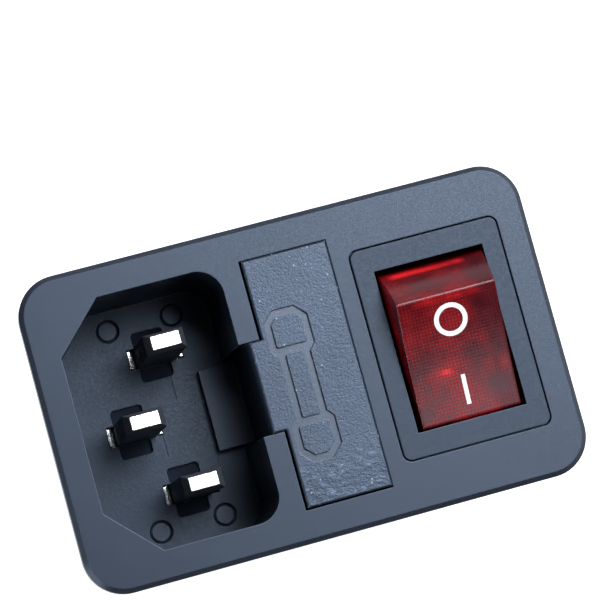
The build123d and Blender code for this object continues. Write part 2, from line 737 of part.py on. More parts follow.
# Contact bridges: strips that rock on the knife edges of the common terminals
for pole, pole_x in pole_places:
    with BuildPart() as contact_bridge:
        with BuildSketch(bridge_plan.offset(bridge_lift)):
            strip_mid, strip_size = span(-bridge_short_arm, contact_y + rivet_radius)
            with Locations((pole_x, strip_mid)):
                Rectangle(bridge_width, strip_size)
        extrude(amount=bridge_sheet)
        with BuildSketch(bridge_plan.offset(bridge_lift - rivet_height)):
            with Locations((pole_x, contact_y)):
                Circle(rivet_radius)
        extrude(amount=rivet_height)
    finish(contact_bridge.part, f"contact_bridge_{pole}")

# Terminals of the switch: a common one under each bridge's middle, a load one under its contact
rivet_low = contact_y * sin(lean) + rivet_radius * sin(lean) + (rivet_height - bridge_lift) * cos(lean)
load_top = bridge_pivot_z - rivet_low - contact_air
for pole, pole_x in pole_places:
    with BuildPart() as common_terminal:
        with BuildSketch(Plane.XZ.offset(-tab_thickness / 2)):
            tab_mid, tab_size = span(switch_tab_end, switch_floor_z)
            with Locations((switch_x + pole_x, tab_mid)):
                tab_face = Rectangle(chamber, tab_size)
            chamfer(tab_face.vertices().group_by(Axis.Z)[0], tab_clip)
            with Locations((switch_x + pole_x, switch_tab_end + tab_hole_inset)):
                Circle(switch_tab_hole_radius, mode=Mode.SUBTRACT)
        extrude(amount=tab_thickness)
        with BuildSketch(Plane.YZ.offset(switch_x + pole_x - knife_width / 2)):
            with BuildLine():
                knife_root = bridge_pivot_z - tab_thickness
                Polyline((-tab_thickness / 2, switch_floor_z), (tab_thickness / 2, switch_floor_z),
                         (tab_thickness / 2, knife_root), (knife_flat / 2, bridge_pivot_z),
                         (-knife_flat / 2, bridge_pivot_z), (-tab_thickness / 2, knife_root),
                         close=True)
            make_face()
        extrude(amount=knife_width)
    finish(common_terminal.part, f"common_terminal_{pole}")
    with BuildPart() as load_terminal:
        with BuildSketch(Plane.XZ.offset(-contact_y - tab_thickness / 2)):
            tab_mid, tab_size = span(switch_tab_end, switch_floor_z)
            with Locations((switch_x + pole_x, tab_mid)):
                tab_face = Rectangle(chamber, tab_size)
            chamfer(tab_face.vertices().group_by(Axis.Z)[0], tab_clip)
            with Locations((switch_x + pole_x, switch_tab_end + tab_hole_inset)):
                Circle(switch_tab_hole_radius, mode=Mode.SUBTRACT)
        extrude(amount=tab_thickness)
        block(switch_x + pole_x - chamber / 2, switch_x + pole_x + chamber / 2,
              contact_y - foot_length / 2, contact_y + foot_length / 2,
              switch_floor_z, switch_floor_z + foot_sheet)
        with BuildSketch(Plane.XY.offset(switch_floor_z + foot_sheet)):
            with Locations((switch_x + pole_x, contact_y)):
                Circle(rivet_radius)
        extrude(amount=load_top - switch_floor_z - foot_sheet)
    finish(load_terminal.part, f"load_terminal_{pole}")
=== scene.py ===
# %% [markdown]
# # A panel inlet with a fuse drawer and a red rocker switch
#
# The object snaps into the back wall of an appliance. Its black front has a well
# with three flat pins, a drawer that holds two glass fuses, and a rocker switch
# with a see-through red cap. The construction comes ready made, at its real
# size, and the looks are made here: the finishes, the small signs, the glass
# and the light. Every piece is tied to the body that carries it, so that the
# drawer can slide and the rocker can tip with all that belongs to them.

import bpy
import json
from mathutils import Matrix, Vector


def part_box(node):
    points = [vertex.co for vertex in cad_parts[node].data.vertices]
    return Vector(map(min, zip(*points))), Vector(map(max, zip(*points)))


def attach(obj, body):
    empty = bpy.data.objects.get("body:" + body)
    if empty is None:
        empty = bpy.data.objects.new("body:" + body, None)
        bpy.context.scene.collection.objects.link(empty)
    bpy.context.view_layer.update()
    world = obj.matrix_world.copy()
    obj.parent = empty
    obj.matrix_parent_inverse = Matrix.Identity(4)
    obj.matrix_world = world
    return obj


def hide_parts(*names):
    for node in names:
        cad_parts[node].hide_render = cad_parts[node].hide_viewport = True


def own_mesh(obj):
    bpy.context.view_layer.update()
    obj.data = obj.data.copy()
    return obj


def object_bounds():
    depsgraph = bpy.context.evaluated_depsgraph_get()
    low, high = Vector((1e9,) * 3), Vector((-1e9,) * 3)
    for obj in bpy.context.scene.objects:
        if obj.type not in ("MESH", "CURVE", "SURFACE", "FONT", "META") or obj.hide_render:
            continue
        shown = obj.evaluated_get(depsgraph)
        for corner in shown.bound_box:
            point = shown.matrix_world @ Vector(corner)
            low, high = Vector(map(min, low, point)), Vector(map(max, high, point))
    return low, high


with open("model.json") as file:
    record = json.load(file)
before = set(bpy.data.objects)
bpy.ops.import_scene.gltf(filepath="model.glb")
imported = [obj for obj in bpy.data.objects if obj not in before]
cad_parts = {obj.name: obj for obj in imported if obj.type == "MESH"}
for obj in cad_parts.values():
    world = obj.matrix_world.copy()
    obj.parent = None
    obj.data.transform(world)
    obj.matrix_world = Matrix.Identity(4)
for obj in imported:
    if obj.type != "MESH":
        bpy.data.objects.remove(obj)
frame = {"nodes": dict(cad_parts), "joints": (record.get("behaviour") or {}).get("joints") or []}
frame_low, frame_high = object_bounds()

# %% Tools and units
import json
import math

import bmesh
import bpy
from mathutils import Matrix, Vector
from mathutils.bvhtree import BVHTree

MM = 0.001
scene = bpy.context.scene


def mm(x, y, z):
    """A point given in millimetres, in Blender's metres."""
    return Vector((x, y, z)) * MM


def placed(name, data):
    """A new object in the scene that shows some data."""
    made = bpy.data.objects.new(name, data)
    scene.collection.objects.link(made)
    return made


print("size in mm:", [round(side / MM, 1) for side in frame_high - frame_low])

# %% [markdown]
# ## The camera
#
# The picture was taken almost straight down on the front, with a long lens, the
# camera a little to the left of the well and turned by some 15 degrees. A short
# lens close by would show the same face with its far edge too small, so the lens
# and the distance are set together: 184 mm at about 0.3 metres. Place, aim and
# roll say all that there is to say about such a camera, and they are easier to
# read and to correct than a matrix.

# %% Place, aim and roll of the camera
front_height = 2.2
camera_place = mm(-40.97, -15.33, 290.96)
camera_aim = mm(1.45, 7.21, front_height)
camera_roll = math.radians(-15.38)
camera_lens = 183.8

back = (camera_place - camera_aim).normalized()
level_right = Vector((0, 1, 0)).cross(back).normalized()
level_up = back.cross(level_right)
right = level_right * math.cos(camera_roll) + level_up * math.sin(camera_roll)
up = back.cross(right)

camera_data = bpy.data.cameras.new("camera")
camera_data.lens = camera_lens
camera_data.clip_start = 0.01
camera_data.clip_end = 20
camera = placed("camera", camera_data)
camera.matrix_world = Matrix.Translation(camera_place) @ Matrix((right, up, back)).transposed().to_4x4()
bpy.context.scene.camera = camera
print("camera distance in mm:", round((camera_place - camera_aim).length / MM, 1))

# %% [markdown]
# ## The floor
#
# The unit is shown on a wide pale table that touches the tips of its tabs. The
# table is only a stage, so one large square will do, as long as its edges lie
# far outside the view. It lies a hair below the tabs, so that nothing flickers.

# %% A large square under the lowest tab
floor_half = 3.0
floor_gap = 0.02 * MM
floor_height = frame_low.z - floor_gap


def reshape(mesh, change):
    """Change a mesh by a function that works on its bmesh."""
    shape = bmesh.new()
    shape.from_mesh(mesh)
    change(shape)
    shape.to_mesh(mesh)
    shape.free()


def new_object(name, build):
    """A mesh object from a function that fills a bmesh."""
    mesh = bpy.data.meshes.new(name)
    reshape(mesh, build)
    return placed(name, mesh)


def build_floor(shape):
    """One large square, level with the tips of the tabs."""
    bmesh.ops.create_grid(shape, x_segments=1, y_segments=1, size=floor_half)
    bmesh.ops.translate(shape, verts=shape.verts, vec=(0, 0, floor_height))


floor = new_object("floor", build_floor)
print("floor at mm:", round(floor_height / MM, 2))

# %% [markdown]
# ## The light
#
# Black plastic shows itself by what it mirrors. Its own colour is nearly black,
# and the slate grey of the front is a dull image of the lamp above. So the key
# light hangs near the place where the front mirrors the camera, which also
# leaves the right wall of the well dark. A wide ceiling fills in, a low lamp
# lays a haze on the cap's low end, and a rim light reaches the print and the red
# plastic without being mirrored by the front. The last lamp stands at table
# height and draws the bevel on the left.

# %% Five soft lamps and a faint surround
scene.view_settings.view_transform = "Standard"
front_centre = mm(0, 0, front_height)
cool_white = (0.88, 0.97, 1.08)


def soft_lamp(name, toward, distance, size, power):
    """A square lamp that hangs in one direction from the front and faces it."""
    data = bpy.data.lights.new(name, "AREA")
    data.shape = "SQUARE"
    data.size = size
    data.energy = power
    data.color = cool_white
    lamp = placed(name, data)
    direction = Vector(toward).normalized()
    lamp.location = front_centre + direction * distance
    lamp.rotation_mode = "QUATERNION"
    lamp.rotation_quaternion = direction.to_track_quat("Z", "Y")


soft_lamp("key", toward=(0.29, 0.24, 1), distance=0.7, size=0.31, power=4.1)
soft_lamp("ceiling", toward=(0.16, 0.08, 1), distance=0.9, size=0.75, power=0.15)
soft_lamp("low", toward=(0.26, -0.36, 1), distance=0.8, size=0.26, power=0.55)
soft_lamp("rim", toward=(0.65, 0.85, 1), distance=0.9, size=0.40, power=6.0)
soft_lamp("side", toward=(-1, -0.5, 0.05), distance=0.8, size=0.60, power=5.5)

surround = bpy.data.worlds.new("surround")
scene.world = surround
surround.use_nodes = True
surround_light = surround.node_tree.nodes["Background"]
surround_light.inputs["Color"].default_value = (0.90, 0.97, 1.08, 1)
surround_light.inputs["Strength"].default_value = 0.045

# %% [markdown]
# ## Tools for finishes
#
# Each finish below is a small net of nodes. All of them measure the surface in
# millimetres, so that a grain of 0.2 stands for 0.2 mm on the real moulding.
# Three patterns come back in every finish: a cloudy change of tone, a fine
# grain that lifts the surface, and a mask that finds the edges, where handling
# polishes the plastic or rubs through the plating, and where the black plastic
# also gets a painted highlight.

# %% Nodes, places, clouds and blends
def node(tree, kind, inputs=None, **settings):
    """Add a shader node, set it up, and give its inputs values or links."""
    made = tree.nodes.new("ShaderNode" + kind)
    for name, value in settings.items():
        setattr(made, name, value)
    for name, value in (inputs or {}).items():
        if isinstance(value, bpy.types.NodeSocket):
            tree.links.new(value, made.inputs[name])
        else:
            made.inputs[name].default_value = value
    return made


def reckon(tree, operation, *values):
    """The result of a sum on numbers and links, such as ADD or MULTIPLY."""
    return node(tree, "Math", dict(enumerate(values)), operation=operation).outputs["Value"]


def place_in_mm(tree):
    """The place on the piece, in millimetres."""
    where = node(tree, "TexCoord")
    scaled = node(tree, "VectorMath", {0: where.outputs["Object"], "Scale": 1 / MM}, operation="SCALE")
    return scaled.outputs["Vector"]


def dot(tree, first, second):
    """The dot product of two places or directions."""
    return node(tree, "VectorMath", {0: first, 1: second}, operation="DOT_PRODUCT").outputs["Value"]


def one_axis(tree, vector, axis):
    """The X, Y or Z of a place or a direction."""
    return node(tree, "SeparateXYZ", {"Vector": vector}).outputs[axis]


def noise(tree, place, size, detail=2.0, roughness=0.5):
    """Cloudy noise whose blots are about size millimetres wide."""
    made = node(tree, "TexNoise", {
        "Vector": place, "Scale": 1 / size, "Detail": detail, "Roughness": roughness})
    return made.outputs["Fac"]


def spread(tree, value, low_in, high_in, low_out=0.0, high_out=1.0):
    """Stretch a value from one range to another, and stop at its ends."""
    made = node(tree, "MapRange", {
        "Value": value, "From Min": low_in, "From Max": high_in,
        "To Min": low_out, "To Max": high_out})
    return made.outputs["Result"]


def blend(tree, share, first, second):
    """A colour between two others."""
    made = node(tree, "MixRGB", {"Fac": share, "Color1": first, "Color2": second})
    return made.outputs["Color"]


print("a pattern's size is given in parts of a metre:", MM)

# %% Edges and raised patterns
bevel_samples = 6


def soft_normal(tree, radius):
    """The normal as if each edge were rounded by the radius, in millimetres."""
    made = node(tree, "Bevel", {"Radius": radius * MM}, samples=bevel_samples)
    return made.outputs["Normal"]


def edge_mask(tree, normal):
    """One on the edges and nought on the flats."""
    flat = node(tree, "NewGeometry").outputs["Normal"]
    return spread(tree, dot(tree, normal, flat), 0.995, 0.85)


def lift(tree, height, depth, normal):
    """Raise the surface by a pattern, depth millimetres from low to high."""
    made = node(tree, "Bump", {
        "Height": height, "Distance": depth * MM, "Strength": 1.0, "Normal": normal})
    return made.outputs["Normal"]


def new_finish(name, settings=None):
    """A finish with a few fixed settings: its material, its net of nodes and its main shader."""
    material = bpy.data.materials.new(name)
    material.use_nodes = True
    tree = material.node_tree
    shader = tree.nodes["Principled BSDF"]
    for socket, value in (settings or {}).items():
        shader.inputs[socket].default_value = value
    return material, tree, shader


def feed(tree, shader, tone, rough, normal):
    """Link a tone, a roughness and a normal into the main shader."""
    tree.links.new(tone, shader.inputs["Base Color"])
    tree.links.new(rough, shader.inputs["Roughness"])
    tree.links.new(normal, shader.inputs["Normal"])


print("rays that feel for an edge:", bevel_samples)

# %% [markdown]
# ## Black moulded plastic
#
# The housing, the drawer and the switch are moulded from the same kind of black
# plastic, but their moulds were finished differently. The flange came out of a
# finely ground mould and is satin. The drawer's mould was left as the spark
# eroder made it, so its face is sandy, and its glitter is painted: light specks
# and lighter grain crests. The recesses round the pins are dull, because no tool
# polishes that deep. The switch is a bought part with its own, slightly greener
# black. One recipe with a few settings makes them all, so that they stay
# relatives.

# %% Dust and painted glints
dust_tone = (0.45, 0.46, 0.48, 1)
speck_radius = 0.022
glint_radius = 0.16


def dusted(tree, place, colour, share):
    """The colour with a few light specks of dust on it."""
    specks = node(tree, "TexVoronoi", {"Vector": place, "Scale": 0.33, "Randomness": 1.0})
    dusty = spread(tree, specks.outputs["Distance"], speck_radius, speck_radius - 0.010, 0.0, share)
    return blend(tree, dusty, colour, dust_tone)


def painted_glints(tree, place, amount):
    """Painted glints: light specks where a few facets of a spark eroded face would catch the light."""
    points = node(tree, "TexVoronoi", {"Vector": place, "Scale": 1.7, "Randomness": 1.0})
    chosen = one_axis(tree, points.outputs["Color"], "X")
    near = spread(tree, points.outputs["Distance"], glint_radius, glint_radius / 2)
    return reckon(tree, "MULTIPLY", near, spread(tree, chosen, 0.5, 0.9, 0.0, amount))


print("radius of a speck and of a spark, in steps of their patterns:", speck_radius, glint_radius)

# %% One recipe for the black mouldings
edge_round = 0.12
bluish_sheen = (0.68, 0.77, 0.93, 1)
worn_and_highlit_edge = (0.24, 0.27, 0.33, 1)
glint_tone = (0.42, 0.46, 0.52, 1)
grain_gain = 1.8


def black_plastic(name, tone, light_tone, grain_size, grain_depth, roughness, glitter,
                  sheen=bluish_sheen, glint_share=0.0):
    """Black plastic with clouds, a moulded grain, edges that are rubbed and carry a painted highlight, a
    little dust and painted glints.
    """
    material, tree, shader = new_finish(name, {"Specular Tint": sheen})
    place = place_in_mm(tree)
    soft = soft_normal(tree, edge_round)
    edges = edge_mask(tree, soft)
    clouds = noise(tree, place, size=5.0, detail=3.0)
    grain = noise(tree, place, grain_size, roughness=0.7)
    glitter_tone = [channel * grain_gain for channel in light_tone[:3]] + [1]
    colour = blend(tree, spread(tree, clouds, 0.35, 0.65), tone, light_tone)
    # A painted glitter: the crests of the grain are painted lighter by the glitter share.
    grain_tone = blend(tree, glitter, colour, glitter_tone)
    colour = blend(tree, spread(tree, grain, 0.55, 0.75), colour, grain_tone)
    # The edges are partly rubbed and partly carry a painted highlight: a paler tone along them.
    colour = blend(tree, edges, colour, blend(tree, 0.6, colour, worn_and_highlit_edge))
    colour = dusted(tree, place, colour, 0.6)
    # Painted glints: a few light specks on the face.
    if glint_share:
        colour = blend(tree, painted_glints(tree, place, glint_share), colour, glint_tone)
    shade = spread(tree, grain, 0.3, 0.7, roughness - 0.06, roughness + 0.06)
    rubbed_shade = reckon(tree, "SUBTRACT", shade, spread(tree, edges, 0, 1, 0.0, 0.12))
    feed(tree, shader, colour, rubbed_shade, lift(tree, grain, grain_depth, soft))
    return material


print("edges rounded for the eye by mm:", edge_round)

# %% Settings for each black moulding
# Each: its tone, its light tone, the size and the depth of its grain, its roughness and its glitter.
housing_finish = black_plastic(
    "satin black", (0.003, 0.006, 0.013, 1), (0.005, 0.009, 0.017, 1), 0.16, 0.004, 0.36, 0.10)
recess_finish = black_plastic(
    "dull black", (0.004, 0.007, 0.014, 1), (0.006, 0.010, 0.019, 1), 0.16, 0.010, 0.80, 0.10)
well_floor_finish = black_plastic(
    "well floor black", (0.003, 0.006, 0.013, 1), (0.010, 0.014, 0.022, 1), 0.35, 0.012, 0.40, 0.35,
    sheen=(0.61, 0.70, 0.84, 1))
drawer_finish = black_plastic(
    "spark eroded black", (0.014, 0.021, 0.036, 1), (0.022, 0.032, 0.052, 1), 0.22, 0.034, 0.32, 0.55,
    sheen=(0.75, 0.84, 1.0, 1), glint_share=0.9)
groove_finish = black_plastic(
    "smooth black", (0.018, 0.026, 0.044, 1), (0.026, 0.036, 0.058, 1), 0.20, 0.008, 0.30, 0.30,
    sheen=(0.84, 0.90, 1.0, 1), glint_share=0.4)
switch_finish = black_plastic(
    "switch black", (0.006, 0.011, 0.017, 1), (0.009, 0.015, 0.022, 1), 0.20, 0.006, 0.44, 0.12)
print("black finishes:", sum("black" in material.name for material in bpy.data.materials))

# %% [markdown]
# ## Folds in the drawer's face
#
# Towards its low end the drawer's face isn't flat. The plastic cooled against
# the mould with shallow folds, and the light caught on their crests is painted
# as a paler tone. A slanted, stretched noise gives both: it lifts the surface,
# and it chooses where the painted highlight lies. It fades out towards the middle
# of the face, and it is laid over the finish that is ready, between the shader
# and what fed it before.

# %% Shallow folds with painted highlights on their crests
folds_begin, folds_full = -6.5, -9.5
folds_slant = math.radians(-50)
folds_depth = 0.06
crest_highlight_tone = (0.17, 0.20, 0.27, 1)


def facing_up(tree, none_at, full_at):
    """One where the surface faces along Z, nought where it turns away from it."""
    normal = node(tree, "NewGeometry").outputs["Normal"]
    return spread(tree, one_axis(tree, normal, "Z"), none_at, full_at)


def fed_by(shader, name):
    """What feeds an input of a shader so far."""
    return shader.inputs[name].links[0].from_socket


def add_folds(material):
    """Lay shallow folds with painted highlights on their crests over a finish that is ready."""
    tree = material.node_tree
    shader = tree.nodes["Principled BSDF"]
    place = place_in_mm(tree)
    slanted = node(tree, "Mapping", {
        "Vector": place, "Rotation": (0, 0, folds_slant), "Scale": (0.8, 1.3, 1.0)})
    folds = noise(tree, slanted.outputs["Vector"], size=0.7, detail=3.0, roughness=0.6)
    low_end = spread(tree, one_axis(tree, place, "Y"), folds_begin, folds_full)
    share = reckon(tree, "MULTIPLY", low_end, facing_up(tree, 0.8, 0.9))
    # The crests get a painted highlight: a paler tone where light would catch them.
    crests = reckon(tree, "MULTIPLY", spread(tree, folds, 0.57, 0.68, 0.0, 0.45), share)
    tone = blend(tree, crests, fed_by(shader, "Base Color"), crest_highlight_tone)
    folded = lift(tree, reckon(tree, "MULTIPLY", folds, share), folds_depth, fed_by(shader, "Normal"))
    tree.links.new(tone, shader.inputs["Base Color"])
    tree.links.new(folded, shader.inputs["Normal"])


add_folds(drawer_finish)
print("the folds reach their full depth within mm:", folds_begin - folds_full)

# %% [markdown]
# ## Metals
#
# The tabs are stamped from brass sheet and plated with nickel, the bridges and
# plungers are bare brass, and the springs are steel wire. Stamping leaves fine
# lines along the sheet, and the plating dulls where hands and plugs have rubbed
# it. A metal's colour is in its mirror, so the changes are mostly in the
# roughness. The nickel's tone is kept rather dark: a white one would be lost
# against the white table.

# %% Nickel, brass and steel
def metal(name, colour, dull_colour, roughness, line_depth):
    """Stamped metal with drawn lines, dull clouds and rubbed edges."""
    material, tree, shader = new_finish(name, {"Metallic": 1.0})
    place = place_in_mm(tree)
    soft = soft_normal(tree, 0.10)
    edges = edge_mask(tree, soft)
    clouds = noise(tree, place, size=1.6, detail=4.0, roughness=0.6)
    drawn = node(tree, "Mapping", {"Vector": place, "Scale": (9.0, 9.0, 0.5)})
    lines = noise(tree, drawn.outputs["Vector"], size=0.8, detail=3.0)
    tone = blend(tree, spread(tree, clouds, 0.45, 0.7), colour, dull_colour)
    tone = blend(tree, spread(tree, edges, 0, 1, 0.0, 0.5), tone, colour)
    rough = spread(tree, clouds, 0.3, 0.7, roughness * 0.7, roughness * 1.5)
    feed(tree, shader, tone, rough, lift(tree, lines, line_depth, soft))
    return material


nickel_finish = metal("nickel plate", (0.40, 0.39, 0.365, 1), (0.24, 0.232, 0.215, 1), 0.26, 0.003)
brass_finish = metal("bare brass", (0.78, 0.58, 0.28, 1), (0.52, 0.38, 0.20, 1), 0.30, 0.004)
steel_finish = metal("spring wire", (0.55, 0.56, 0.58, 1), (0.38, 0.38, 0.40, 1), 0.28, 0.002)
print("metals:", nickel_finish.name, brass_finish.name, steel_finish.name)

# %% [markdown]
# ## Pins with painted shade on their sides
#
# The tips of the pins face up and mirror the lamps, while their sides mirror the
# dark well, so the sides are darkened with painted shade. Two finishes on chosen
# faces would do, but they would meet in a hard line. So one finish reads which
# way the surface faces and how deep it lies. What faces up stays bright, and the
# sides get a darker, duller and less metallic tone. The tabs of the pins behind
# the well keep their plating bright.

# %% Bright tips and dark sides
well_back = -18.0
side_shade_tone = (0.10, 0.102, 0.115, 1)
side_shade_dulls_by = 0.32
shaded_side_metallic = 0.6


def shade_pin_sides(material):
    """Darken with painted shade, and dull, what doesn't face up in the well."""
    tree = material.node_tree
    shader = tree.nodes["Principled BSDF"]
    depth = one_axis(tree, place_in_mm(tree), "Z")
    in_well = spread(tree, depth, well_back - 0.5, well_back + 0.5)
    side = reckon(tree, "SUBTRACT", 1.0, facing_up(tree, 0.7, 0.9))
    side_shade = reckon(tree, "MULTIPLY", side, in_well)
    # Painted shade: the sides are darkened where they would mirror the dark well.
    tone = blend(tree, side_shade, fed_by(shader, "Base Color"), side_shade_tone)
    rough = reckon(tree, "MULTIPLY_ADD", side_shade, side_shade_dulls_by, fed_by(shader, "Roughness"))
    tree.links.new(tone, shader.inputs["Base Color"])
    tree.links.new(rough, shader.inputs["Roughness"])
    tree.links.new(spread(tree, side_shade, 0.0, 1.0, 1.0, shaded_side_metallic), shader.inputs["Metallic"])


pin_finish = metal("pin with shaded sides", (0.88, 0.87, 0.85, 1), (0.80, 0.79, 0.77, 1), 0.21, 0.0006)
shade_pin_sides(pin_finish)
# The painted shade on the pin sides starts above this height.
print("the pin sides are shaded above a height in mm of", well_back)

# %% [markdown]
# ## Directions on the cap
#
# The rocker rests at a tilt, with its I end pressed. Whatever is drawn on its
# cap is measured from its pivot, in three directions of its own: across it,
# along it and out of its top. The pivot is read from the joint.

# %% Across, along and up
rocker_tilt = math.radians(16.8)
cap_across = Vector((1, 0, 0))
cap_along = Vector((0, math.cos(rocker_tilt), math.sin(rocker_tilt)))
cap_up = Vector((0, -math.sin(rocker_tilt), math.cos(rocker_tilt)))
cap_axes = (cap_across, cap_along, cap_up)
tilt_joint = next(joint for joint in frame["joints"] if joint["name"] == "rocker_tilt")
cap_pivot = Vector(tilt_joint["pos_m"])


def cap_places(tree, start):
    """How far the surface lies from a start across, along and up, in mm."""
    away = node(tree, "VectorMath", {0: place_in_mm(tree), 1: start / MM}, operation="SUBTRACT")
    return [dot(tree, away.outputs["Vector"], axis) for axis in cap_axes]


print("cap pivot in mm:", [round(value / MM, 2) for value in cap_pivot])

# %% [markdown]
# ## The grid in the cap
#
# A fine square grid is moulded into the roof of the cap to scatter the light.
# Some two thousand real dimples would be a heavy mesh for something so small,
# and a wave that folds back at half its pitch draws the same lines. The lines
# are darker and a few microns deeper than the cells. The steep end face of the
# cap is smooth, so the cells close up there.

# %% A square grid of fine lines
grid_pitch = 0.33
grid_end = 6.0
line_half = 0.02
line_fades_by = 0.10


def grid_cells(tree, cap_place_along):
    """One in the cells of the grid and past its end, nought on its lines."""
    across, along, _ = cap_places(tree, Vector((0, 0, 0)))
    waves = [reckon(tree, "PINGPONG", direction, grid_pitch / 2) for direction in (across, along)]
    cells = spread(tree, reckon(tree, "MINIMUM", *waves), line_half, line_fades_by)
    past_end = spread(tree, cap_place_along, grid_end - 0.1, grid_end + 0.1)
    return reckon(tree, "MAXIMUM", cells, past_end)


rocker_low, rocker_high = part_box("rocker")
print("lines across the cap:", round((rocker_high.x - rocker_low.x) / MM / grid_pitch))

# %% [markdown]
# ## Light in the cap
#
# Clear plastic gathers light and lets it out at its edges, as a clear ruler
# does, and a few places inside throw it back. To follow each ray through the
# curved walls would take very long and still look noisy. A faint glow of the
# surface itself does the same, where such light comes out: narrow strips along
# the upper edge and beside the ridge, and soft oval spots on the face.


# %% One strip and one spot
def glow_strip(tree, across, along, middle, half_width, soft_edge, left, right):
    """A strip across the cap, one in its middle, with soft sides and ends."""
    away = reckon(tree, "ABSOLUTE", reckon(tree, "SUBTRACT", along, middle))
    width = spread(tree, away, half_width + soft_edge, half_width - 0.06)
    left_end = spread(tree, across, left - 0.5, left + 0.3)
    right_end = spread(tree, across, right + 0.5, right - 0.3)
    return reckon(tree, "MULTIPLY", width, reckon(tree, "MULTIPLY", left_end, right_end))


def glow_spot(tree, across, along, middle_across, middle_along, half_width, half_length):
    """An oval spot, one in its middle, that fades out softly."""
    place = node(tree, "CombineXYZ", {
        "X": reckon(tree, "DIVIDE", reckon(tree, "SUBTRACT", across, middle_across), half_width),
        "Y": reckon(tree, "DIVIDE", reckon(tree, "SUBTRACT", along, middle_along), half_length)})
    away = node(tree, "VectorMath", {0: place.outputs["Vector"]}, operation="LENGTH").outputs["Value"]
    return reckon(tree, "POWER", spread(tree, away, 1.0, 0.0), 1.6)


print("ready: glow_strip and glow_spot")

# %% All the glow of the cap
# Each strip: its strength, then its middle, half width, soft edge, left end and right end in mm.
glowing_strips = [
    (0.60, 8.03, 0.12, 0.06, -4.1, 2.9),
    (0.05, 6.40, 0.10, 0.22, -3.4, 3.2),
    (0.20, 5.70, 0.14, 0.30, -3.0, 3.2)]
# Each spot: its strength, then its middle across and along, half width and half length in mm.
glowing_spots = [
    (1.20, -1.5, -1.45, 0.85, 0.34),
    (0.30, -1.8, -1.3, 1.9, 1.7),
    (0.05, -0.3, -0.6, 4.6, 5.0),
    (0.25, 4.3, -1.9, 0.9, 1.7),
    (0.12, 0.3, -5.4, 4.2, 3.0)]
shoulder_height = 1.85


def cap_glow(tree, places, clouds, cells):
    """Strips and spots, patchy as the clouds, and none below the cap's shoulder."""
    across, along, height = places
    strip_share = spread(tree, clouds, 0.35, 0.60, 0.45, 1.0)
    spot_share = reckon(
        tree, "MULTIPLY", spread(tree, clouds, 0.35, 0.60, 0.35, 1.0), spread(tree, cells, 0, 1, 0.35, 1.0))
    total = 0.0
    for strength, *form in glowing_strips:
        glow = reckon(tree, "MULTIPLY", glow_strip(tree, across, along, *form), strength)
        total = reckon(tree, "MULTIPLY_ADD", glow, strip_share, total)
    for strength, *form in glowing_spots:
        glow = reckon(tree, "MULTIPLY", glow_spot(tree, across, along, *form), strength)
        total = reckon(tree, "MULTIPLY_ADD", glow, spot_share, total)
    on_top = spread(tree, height, shoulder_height - 0.05, shoulder_height + 0.07)
    return reckon(tree, "MULTIPLY", total, on_top)


print("glowing strips and spots:", len(glowing_strips), len(glowing_spots))

# %% [markdown]
# ## Clear red plastic
#
# Light goes into the cap, meets the black box, the tubes and the lamp, and comes
# back red, which is why the cap looks mottled and never flat. A fully clear
# plastic would show the inside too plainly, so part of the light is scattered
# in the plastic itself. Clouds stand for what shines through from inside. The
# right side lies over the dark wall of the box, and the steep end face and the
# skirt under the shoulder lie in shade, so all three get painted shade: darker
# tones of the same red.

# %% Clouds, lines and sides in painted shade
deep_red, bright_red = (0.17, 0.002, 0.006, 1), (0.66, 0.008, 0.012, 1)
line_red = (0.10, 0.002, 0.006, 1)
wall_shade_red = (0.09, 0.003, 0.009, 1)
end_face_shade_red = (0.10, 0.001, 0.003, 1)
skirt_shade_red = (0.02, 0.001, 0.002, 1)


def cap_colour(tree, places, clouds, cells):
    """The reds of the cap, from its clouds to the painted shade on its skirt."""
    across, along, height = places
    colour = blend(tree, spread(tree, clouds, 0.35, 0.65), deep_red, bright_red)
    colour = blend(tree, spread(tree, cells, 0, 1, 0.75, 0.0), colour, line_red)
    broad_clouds = noise(tree, place_in_mm(tree), size=4.5)
    # Painted shade: the right side over the dark wall of the box, the steep end face and the skirt under
    # the shoulder get darker reds.
    over_wall = reckon(tree, "MULTIPLY_ADD", broad_clouds, 3.2, across)
    colour = blend(tree, spread(tree, over_wall, 4.0, 4.8, 0.0, 0.68), colour, wall_shade_red)
    colour = blend(tree, spread(tree, along, 6.1, 6.5, 0.0, 0.55), colour, end_face_shade_red)
    above_skirt = spread(tree, height, shoulder_height - 0.15, shoulder_height, 0.12, 1.0)
    return blend(tree, above_skirt, skirt_shade_red, colour)


print("tones of red:", len({deep_red, bright_red, line_red, wall_shade_red, end_face_shade_red, skirt_shade_red}))


# %% The red finish
def red_plastic(name):
    """See-through red plastic with a grid of fine lines, darker clouds and a glow."""
    material, tree, shader = new_finish(name, {
        "Emission Color": (1.0, 0.018, 0.022, 1), "Transmission Weight": 0.55, "IOR": 1.45,
        "Coat Weight": 0.12, "Coat Roughness": 0.25, "Specular IOR Level": 0.42})
    soft = soft_normal(tree, 0.32)
    places = cap_places(tree, cap_pivot)
    cells = grid_cells(tree, places[1])
    clouds = noise(tree, place_in_mm(tree), size=3.0, detail=3.0, roughness=0.6)
    tree.links.new(cap_glow(tree, places, clouds, cells), shader.inputs["Emission Strength"])
    rough = spread(tree, clouds, 0.3, 0.7, 0.16, 0.30)
    feed(tree, shader, cap_colour(tree, places, clouds, cells), rough, lift(tree, cells, 0.004, soft))
    return material


red_finish = red_plastic("clear red")
print("nodes in the red finish:", len(red_finish.node_tree.nodes))

# %% [markdown]
# ## Glass
#
# The fuses and the little lamp have thin glass tubes. Thin glass is nearly
# invisible face on and bright along its sides. It needs no colour beyond a
# breath of green, but real tubes are never quite clean, so faint streaks change
# the roughness.

